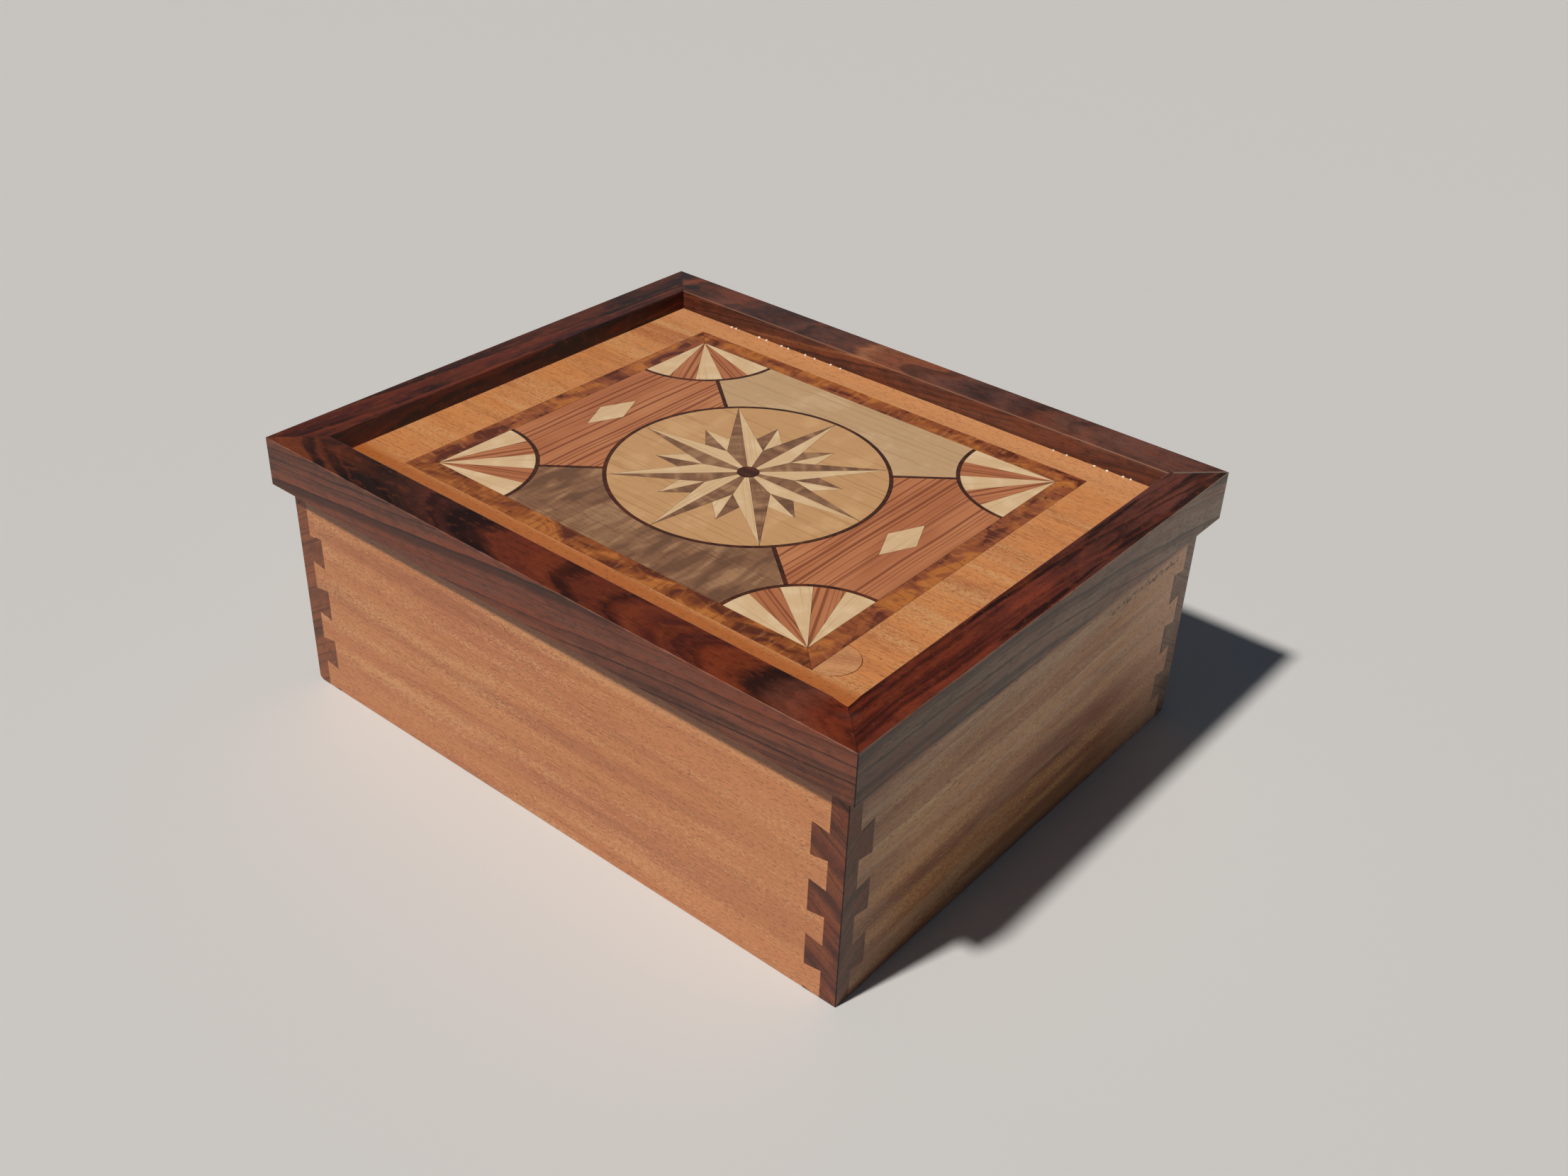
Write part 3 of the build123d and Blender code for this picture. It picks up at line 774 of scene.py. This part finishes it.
def dress_lid():
    """A frame and strips of polished rosewood, and a field of mahogany veneer with a burl band."""
    rise = 0.1
    lid = (lid_half_length, lid_half_width, lid_top)
    middle_y = lid_half_width - rail_width / 2
    inner_x = lid_half_length - rail_width
    worn_corner = (inner_x, rail_width - lid_half_width, lid_top)
    # The front rail's flames turn into even streaks on its outer face, whose paler, greyer tones are
    # partly painted sheen.
    front = rosewood(
        "polished rosewood, front rail", along_x, 11.0, along_top(front_rail_tones, rise),
        datum=(0, -middle_y, lid_top), slope=rise, bow=0.014, apex=2.0, drift=-0.03, wander=2.6,
        streak=1.5, contrast=0.75, edges=lid, rubbed=worn_corner,
        outer=((-130, "764836"), (0, "784938"), (130, "86503c")), lines=0.7,
    )
    back = rosewood(
        "polished rosewood, back rail", along_x, 23.0, along_top(back_rail_tones, rise),
        datum=(0, middle_y, lid_top), slope=rise, bow=0.012, apex=-2.0, wander=3.0,
        streak=1.6, contrast=0.6, edges=lid, inner=rail_width,
        tones=(
            ("60301a", "Z", lid_top - 0.5, lid_top - 1.5, 0.55),
            # Towards its foot on the panel the rail darkens: partly old oil in the joint and partly
            # painted shade in the crease.
            ("2a130c", "Z", lid_top - 5, lid_top - 7, 0.5),
        ),
    )
    # The end rails' layers stand on edge, and bend along the right one from this place. Their wood is
    # redder in front. On the right one the purple-grey towards the back is a painted reflection.
    bend_start = -70
    right = rosewood(
        "polished rosewood, right rail", along_y, 3.0, right_rail_tones,
        datum=(inner_x, bend_start, lid_top), through=(-0.78, 0, 0.62), bend=0.00035, wander=3.0,
        streak=1.5, contrast=0.55, edges=lid, rubbed=worn_corner, lines=0.7,
        # Its paler, greyer outer tones are partly painted sheen.
        outer=((-106, "806c5b"), (-80, "8c7660"), (0, "a68c72"), (80, "c2a88e"), (106, "c8b094")),
        tones=(
            ("2e1612", "Y", -75, -100, 0.2),
            # Its purple-grey towards the back is a painted reflection.
            ("8c4436", "Y", -48, -25, 0.42),
            ("3e2925", "Y", -8, 18, 0.6),
            ("7c463c", "Y", 42, 70, 0.42),
        ),
        flames=0.85,
    )
    left = rosewood(
        "polished rosewood, left rail", along_y, 31.0, left_rail_tones,
        datum=(-inner_x, 0, lid_top), through=(0.72, 0, 0.7), slope=0.05, wander=5.0,
        streak=1.8, contrast=0.8, edges=lid, flames=0.8,
        tones=(("240b08", "Y", 30, 72, 0.72),),
    )
    dress(front, "frame_front")
    dress(back, "frame_back")
    dress(right, "frame_right")
    dress(left, "frame_left")
    strip_tones = ((-10, "4a2018"), (-4, "5f2a1c"), (0, "4a1f17"), (5, "6a3320"))
    strips = (0, 0, 82)
    long_strips = rosewood("oiled rosewood, long strips", along_x, 45.0, strip_tones, datum=strips)
    end_strips = rosewood("oiled rosewood, end strips", along_y, 47.0, strip_tones, datum=strips)
    dress(long_strips, "locator_front", "locator_back")
    dress(end_strips, "locator_left", "locator_right")

    # The field is deeper orange next to the front rail and paler towards the back.
    field = ribbon_mahogany(
        "satin mahogany, field veneer", along_x, 71.0, "d99056", ribbon=0.2, fleck=0.7, pore=0.5,
        tones=(
            ("b1622a", "Y", -76, -81, 0.85),
            ("e0a472", "Y", 66, 84, 0.5),
        ),
    )
    dress(field, "field_veneer", "panel_backing")
    patch_grain = (1, 0.5, 0)
    patch = ribbon_mahogany(
        "satin mahogany, patch", patch_grain, 75.0, "e4a874", ribbon=0.25, fleck=0.4, pore=0.3,
    )
    dress(patch, "veneer_patch")
    dress(burl("satin burl, front band", along_x, 2.0, "925026"), "burl_front")
    dress(burl("satin burl, back band", along_x, 9.0), "burl_back")
    dress(burl("satin burl, left band", along_y, 17.0), "burl_left")
    dress(burl("satin burl, right band", along_y, 25.0), "burl_right")


def dress_design():
    """The design of small veneers: each blade and point has its grain along its own middle."""
    def long_rays(tree, place):
        return sectors(tree, place, pi / 4, -pi / 8)

    def short_rays(tree, place):
        return sectors(tree, place, pi / 4, 0.0)

    def fan_blades(tree, place):
        quarter = add(tree, "VectorMath", {0: place}, operation="ABSOLUTE")
        corner = (picture_half_length, picture_half_width, lid_top)
        inward = add(tree, "VectorMath", {0: corner, 1: quarter}, operation="SUBTRACT")
        return sectors(tree, inward, pi / 10, 0.0)

    maple = ("e0c096", "efd6b0", "c79f70")
    pear = ("cda070", "dcb383", "ac7c4e")
    sycamore = ("c9a67e", "d8ba94", "a98a64")
    long_light = pale_veneer("satin maple, long points", along_x, 2.0, *maple, rays=long_rays)
    short_light = pale_veneer("satin maple, short points", along_x, 4.0, *maple, rays=short_rays)
    dress(long_light, "star_long_light")
    dress(short_light, "star_short_light")
    dress(pale_veneer("satin maple, fans", along_x, 6.0, *maple, rays=fan_blades), "fan_light_blades")
    dress(pale_veneer("satin maple, lozenges", along_y, 8.0, *maple), "side_lozenges")
    dress(pale_veneer("satin pear", along_x, 12.0, *pear), "star_ground")
    dress(pale_veneer("satin sycamore", along_x, 15.0, *sycamore), "ground_back")
    dress(curly_walnut("satin walnut, front", along_x, 18.0), "ground_front")
    long_shaded = curly_walnut("satin walnut, long points", along_x, 3.0, rays=long_rays)
    short_shaded = curly_walnut("satin walnut, short points", along_x, 5.0, rays=short_rays)
    dress(long_shaded, "star_long_shaded")
    dress(short_shaded, "star_short_shaded")
    dress(lined_cedar("satin cedar, sides", along_y, 7.0), "ground_left", "ground_right")
    dress(lined_cedar("satin cedar, fans", along_x, 9.0, rays=fan_blades), "fan_red_blades")
    dark_tones = ((-30, "3a1d15"), (-10, "4c281c"), (0, "3c2017"), (12, "54301f"), (30, "40231a"))
    stringing = rosewood(
        "satin rosewood, stringing", along_x, 19.0, dark_tones,
        through=(0, 0.93, 0.36), contrast=0.4, roughness=0.4,
    )
    dress(stringing, "star_boss", "ring_stringing", "fan_stringing", "diagonal_stringing")


# Felt: the spacing of its mesh and the depth of its dents in metres, how many dents lie in a metre, and
# how much of its thickness the soft edge takes

felt_step = 0.0025
felt_dent = 0.00012
dents_in_metre = 150
soft_share = 0.3


def felt_lining(name, node, body, felt):
    """A sheet of felt glued down flat: its faces lie a little uneven, and its cut edges are soft."""
    low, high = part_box(node)
    columns = round((high.x - low.x) / felt_step)
    rows = round((high.y - low.y) / felt_step)
    soft_edge = (high.z - low.z) * soft_share
    shape = bmesh.new()
    sheets = []
    for level, inset in ((low.z, 0.0), (high.z - soft_edge, 0.0), (high.z, soft_edge)):
        grid = []
        for row in range(rows + 1):
            line = []
            for column in range(columns + 1):
                x = low.x + inset + (high.x - low.x - 2 * inset) * column / columns
                y = low.y + inset + (high.y - low.y - 2 * inset) * row / rows
                hollow = 0.5 + 0.5 * noise.noise(Vector((x, y, 0)) * dents_in_metre)
                dent = felt_dent * hollow if level == high.z else 0.0
                line.append((x, y, level - dent))
            grid.append(line)
        sheets.append(grid)
    bottom, rim, top = sheets
    face_rows(shape, top, False)
    face_rows(shape, bottom, True)
    for lower, upper in ((bottom, rim), (rim, top)):
        face_rows(shape, [edge_loop(lower), edge_loop(upper)], False)
    bmesh.ops.remove_doubles(shape, verts=shape.verts, dist=1e-7)
    bmesh.ops.recalc_face_normals(shape, faces=shape.faces)
    mesh = bpy.data.meshes.new(name)
    shape.to_mesh(mesh)
    shape.free()
    for polygon in mesh.polygons:
        polygon.use_smooth = True
    mesh.materials.append(felt)
    piece = bpy.data.objects.new(name, mesh)
    bpy.context.collection.objects.link(piece)
    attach(piece, body)
    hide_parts(node)


def edge_loop(grid):
    """The points round the rim of a grid, back to the first."""
    front = grid[0]
    right = [line[-1] for line in grid[1:]]
    back = grid[-1][-2::-1]
    left = [line[0] for line in grid[-2::-1]]
    return front + right + back + left


def face_rows(shape, grid, downward):
    """Joins rows of points with four-sided faces."""
    lines = [[shape.verts.new(point) for point in line] for line in grid]
    for near, far in zip(lines, lines[1:]):
        for column in range(len(near) - 1):
            corners = [near[column], near[column + 1], far[column + 1], far[column]]
            shape.faces.new(corners[::-1] if downward else corners)


# Beads of glue: two rows that the photograph shows along the foot of the back rail, in metres. Each row
# has its ends along X, how many beads it has, their width and its seed.

bead_rows = {
    "glue_beads_left": (-0.0875, -0.0255, 10, 0.0015, 3),
    "glue_beads_right": (0.0715, 0.1020, 6, 0.0012, 7),
}
bead_rows_y = 0.0896
bead_spread = 0.0045
bead_tree_inputs = (
    ("Start", "NodeSocketVector"),
    ("End", "NodeSocketVector"),
    ("Count", "NodeSocketInt"),
    ("Spread", "NodeSocketFloat"),
    ("Width", "NodeSocketFloat"),
    ("Seed", "NodeSocketInt"),
)


def dried_glue():
    """Dried wood glue: hard cream-white beads with a soft gloss, yellower where they are thick."""
    material, tree, place = new_wood("dried wood glue", along_x)
    clouds = figure(tree, place, 0.8, 0.8, 5, 2)
    colour = paint(tree, "f4f0e6", (("d8c49c", clouds, 0.55, 0.8, 0.5),))
    return finish_wood(material, tree, colour, clouds, 0.03, 0.2, 0.5)


def bead_row_tree(glue):
    """A row of small beads from start to end, each moved and sized at random."""
    tree = bpy.data.node_groups.new("row of beads", "GeometryNodeTree")
    sockets = {}
    for name, kind in bead_tree_inputs:
        sockets[name] = tree.interface.new_socket(name, in_out="INPUT", socket_type=kind).identifier
    tree.interface.new_socket("Beads", in_out="OUTPUT", socket_type="NodeSocketGeometry")
    given = add(tree, "NodeGroupInput").outputs
    line = add(tree, "GeometryNodeMeshLine", {
        "Count": given["Count"],
        "Start Location": given["Start"],
        "Offset": given["End"],
    }, mode="END_POINTS")
    along = add(tree, "FunctionNodeRandomValue", {
        0: (-1.0, -0.04, 0.0),
        1: (1.0, 0.04, 0.0),
        "Seed": given["Seed"],
    }, data_type="FLOAT_VECTOR")
    moved = add(tree, "ShaderNodeVectorMath", {0: along, "Scale": given["Spread"]}, operation="SCALE")
    points = add(tree, "GeometryNodeSetPosition", {"Geometry": line, "Offset": moved})
    shares = add(tree, "FunctionNodeRandomValue", {
        0: (0.3, 0.25, 0.25),
        1: (0.5, 0.38, 0.42),
        "Seed": given["Seed"],
    }, data_type="FLOAT_VECTOR")
    size = add(tree, "ShaderNodeVectorMath", {0: shares, "Scale": given["Width"]}, operation="SCALE")
    ball = add(tree, "GeometryNodeMeshIcoSphere", {"Radius": 1.0, "Subdivisions": 3})
    beads = add(tree, "GeometryNodeInstanceOnPoints", {
        "Points": points,
        "Instance": ball,
        "Scale": size,
    })
    real = add(tree, "GeometryNodeRealizeInstances", {"Geometry": beads})
    smooth = add(tree, "GeometryNodeSetShadeSmooth", {"Geometry": real})
    glued = add(tree, "GeometryNodeSetMaterial", {"Geometry": smooth, "Material": glue})
    add(tree, "NodeGroupOutput", {0: glued})
    return tree, sockets


def bead_row(name, tree, sockets, **values):
    """Runs the tree with these values and keeps its beads as a plain mesh on the lid."""
    carrier = bpy.data.objects.new(name + "_row", bpy.data.meshes.new(name + "_row"))
    bpy.context.collection.objects.link(carrier)
    modifier = carrier.modifiers.new("beads", "NODES")
    modifier.node_group = tree
    for label, value in values.items():
        modifier[sockets[label]] = value
    made = carrier.evaluated_get(bpy.context.evaluated_depsgraph_get())
    piece = bpy.data.objects.new(name, bpy.data.meshes.new_from_object(made))
    bpy.data.objects.remove(carrier)
    bpy.context.collection.objects.link(piece)
    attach(piece, "lid")


def glue_beads():
    """Lays both rows of beads on the field veneer."""
    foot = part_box("field_veneer")[1].z
    tree, sockets = bead_row_tree(dried_glue())
    for name, (start, end, count, width, seed) in bead_rows.items():
        bead_row(
            name, tree, sockets, Seed=seed, Count=count, Spread=bead_spread, Width=width,
            Start=(start, bead_rows_y, foot), End=(end, bead_rows_y, foot),
        )


# The scene

place_camera()
light_studio()
lay_floor()
dress_case_and_tray()
dress_lid()
dress_design()
felt = wool_felt()
felt_lining("room_lining", "base_felt", "case", felt)
felt_lining("tray_lining", "tray_felt", "tray", felt)
glue_beads()

bpy.context.scene.view_settings.view_transform = "Standard"
